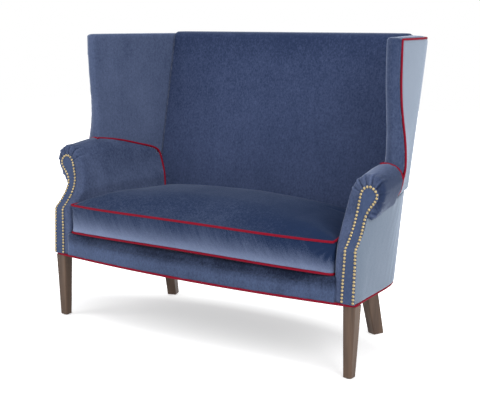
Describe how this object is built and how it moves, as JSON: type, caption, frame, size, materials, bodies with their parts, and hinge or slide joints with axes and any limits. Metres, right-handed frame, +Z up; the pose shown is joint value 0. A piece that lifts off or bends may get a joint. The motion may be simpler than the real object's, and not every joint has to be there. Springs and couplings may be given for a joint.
{
  "type": "wing loveseat",
  "caption": "Wing loveseat with a tight raked back, scroll arms with nail-head trim, contrast piping, a loose boxed bench cushion and square tapered legs, the rear pair splayed back.",
  "frame": {"origin": "middle of the footprint, on the floor", "axes": "+X to the right of a person facing the loveseat, along its length; +Y to its back; +Z up"},
  "size_m": [1.477, 0.762, 1.117],
  "materials": {
    "velvet": "cut pile velvet, dark slate blue with a pale sheen where the pile leans",
    "piping": "plain woven cherry red cloth over cord",
    "leg_wood": "grey-brown walnut, satin lacquer",
    "frame_wood": "sawn and planed hardwood, unfinished",
    "webbing": "woven jute webbing",
    "spring_steel": "oil-tempered spring wire",
    "cambric": "black cambric dust cloth",
    "foam": "open-cell upholstery foam",
    "glide": "moulded nylon"
  },
  "bodies": {
    "frame": {"seat_deck": "velvet", "front_border": "velvet", "inside_back_pad": "velvet", "outside_back_panel": "velvet", "arm_pad_right": "velvet", "arm_pad_left": "velvet", "arm_facing_right": "velvet", "arm_facing_left": "velvet", "outside_arm_panel_right": "velvet", "outside_arm_panel_left": "velvet", "wing_pad_right": "velvet", "wing_pad_left": "velvet", "outside_wing_panel_right": "velvet", "outside_wing_panel_left": "velvet", "base_welt": "piping", "crown_welt": "piping", "arm_welt_right": "piping", "arm_welt_left": "piping", "front_leg_right": "leg_wood", "front_leg_left": "leg_wood", "rear_leg_right": "leg_wood", "rear_leg_left": "leg_wood", "front_rail": "frame_wood", "rear_rail": "frame_wood", "centre_brace": "frame_wood", "crest_rail": "frame_wood", "lower_back_rail": "frame_wood", "side_rail_right": "frame_wood", "side_rail_left": "frame_wood", "front_corner_block_right": "frame_wood", "front_corner_block_left": "frame_wood", "rear_corner_block_right": "frame_wood", "rear_corner_block_left": "frame_wood", "arm_stump_right": "frame_wood", "arm_stump_left": "frame_wood", "arm_rail_right": "frame_wood", "arm_rail_left": "frame_wood", "wing_post_right": "frame_wood", "wing_post_left": "frame_wood", "wing_frame_right": "frame_wood", "wing_frame_left": "frame_wood", "rear_post_right": "frame_wood", "rear_post_left": "frame_wood", "back_strap_1": "webbing", "back_strap_2": "webbing", "back_strap_3": "webbing", "seat_spring_1": "spring_steel", "seat_spring_2": "spring_steel", "seat_spring_3": "spring_steel", "seat_spring_4": "spring_steel", "seat_spring_5": "spring_steel", "dust_cover": "cambric", "front_glide_right": "glide", "front_glide_left": "glide", "rear_glide_right": "glide", "rear_glide_left": "glide"},
    "cushion": {"cushion_core": "foam", "cushion_cover": "velvet", "cushion_welt_top": "piping", "cushion_welt_bottom": "piping"}
  },
  "joints": [
    {"name": "cushion_lift", "type": "slide", "parent": "frame", "child": "cushion", "axis": [0, 0, 1], "range_m": [0, 0.8]}
  ]
}
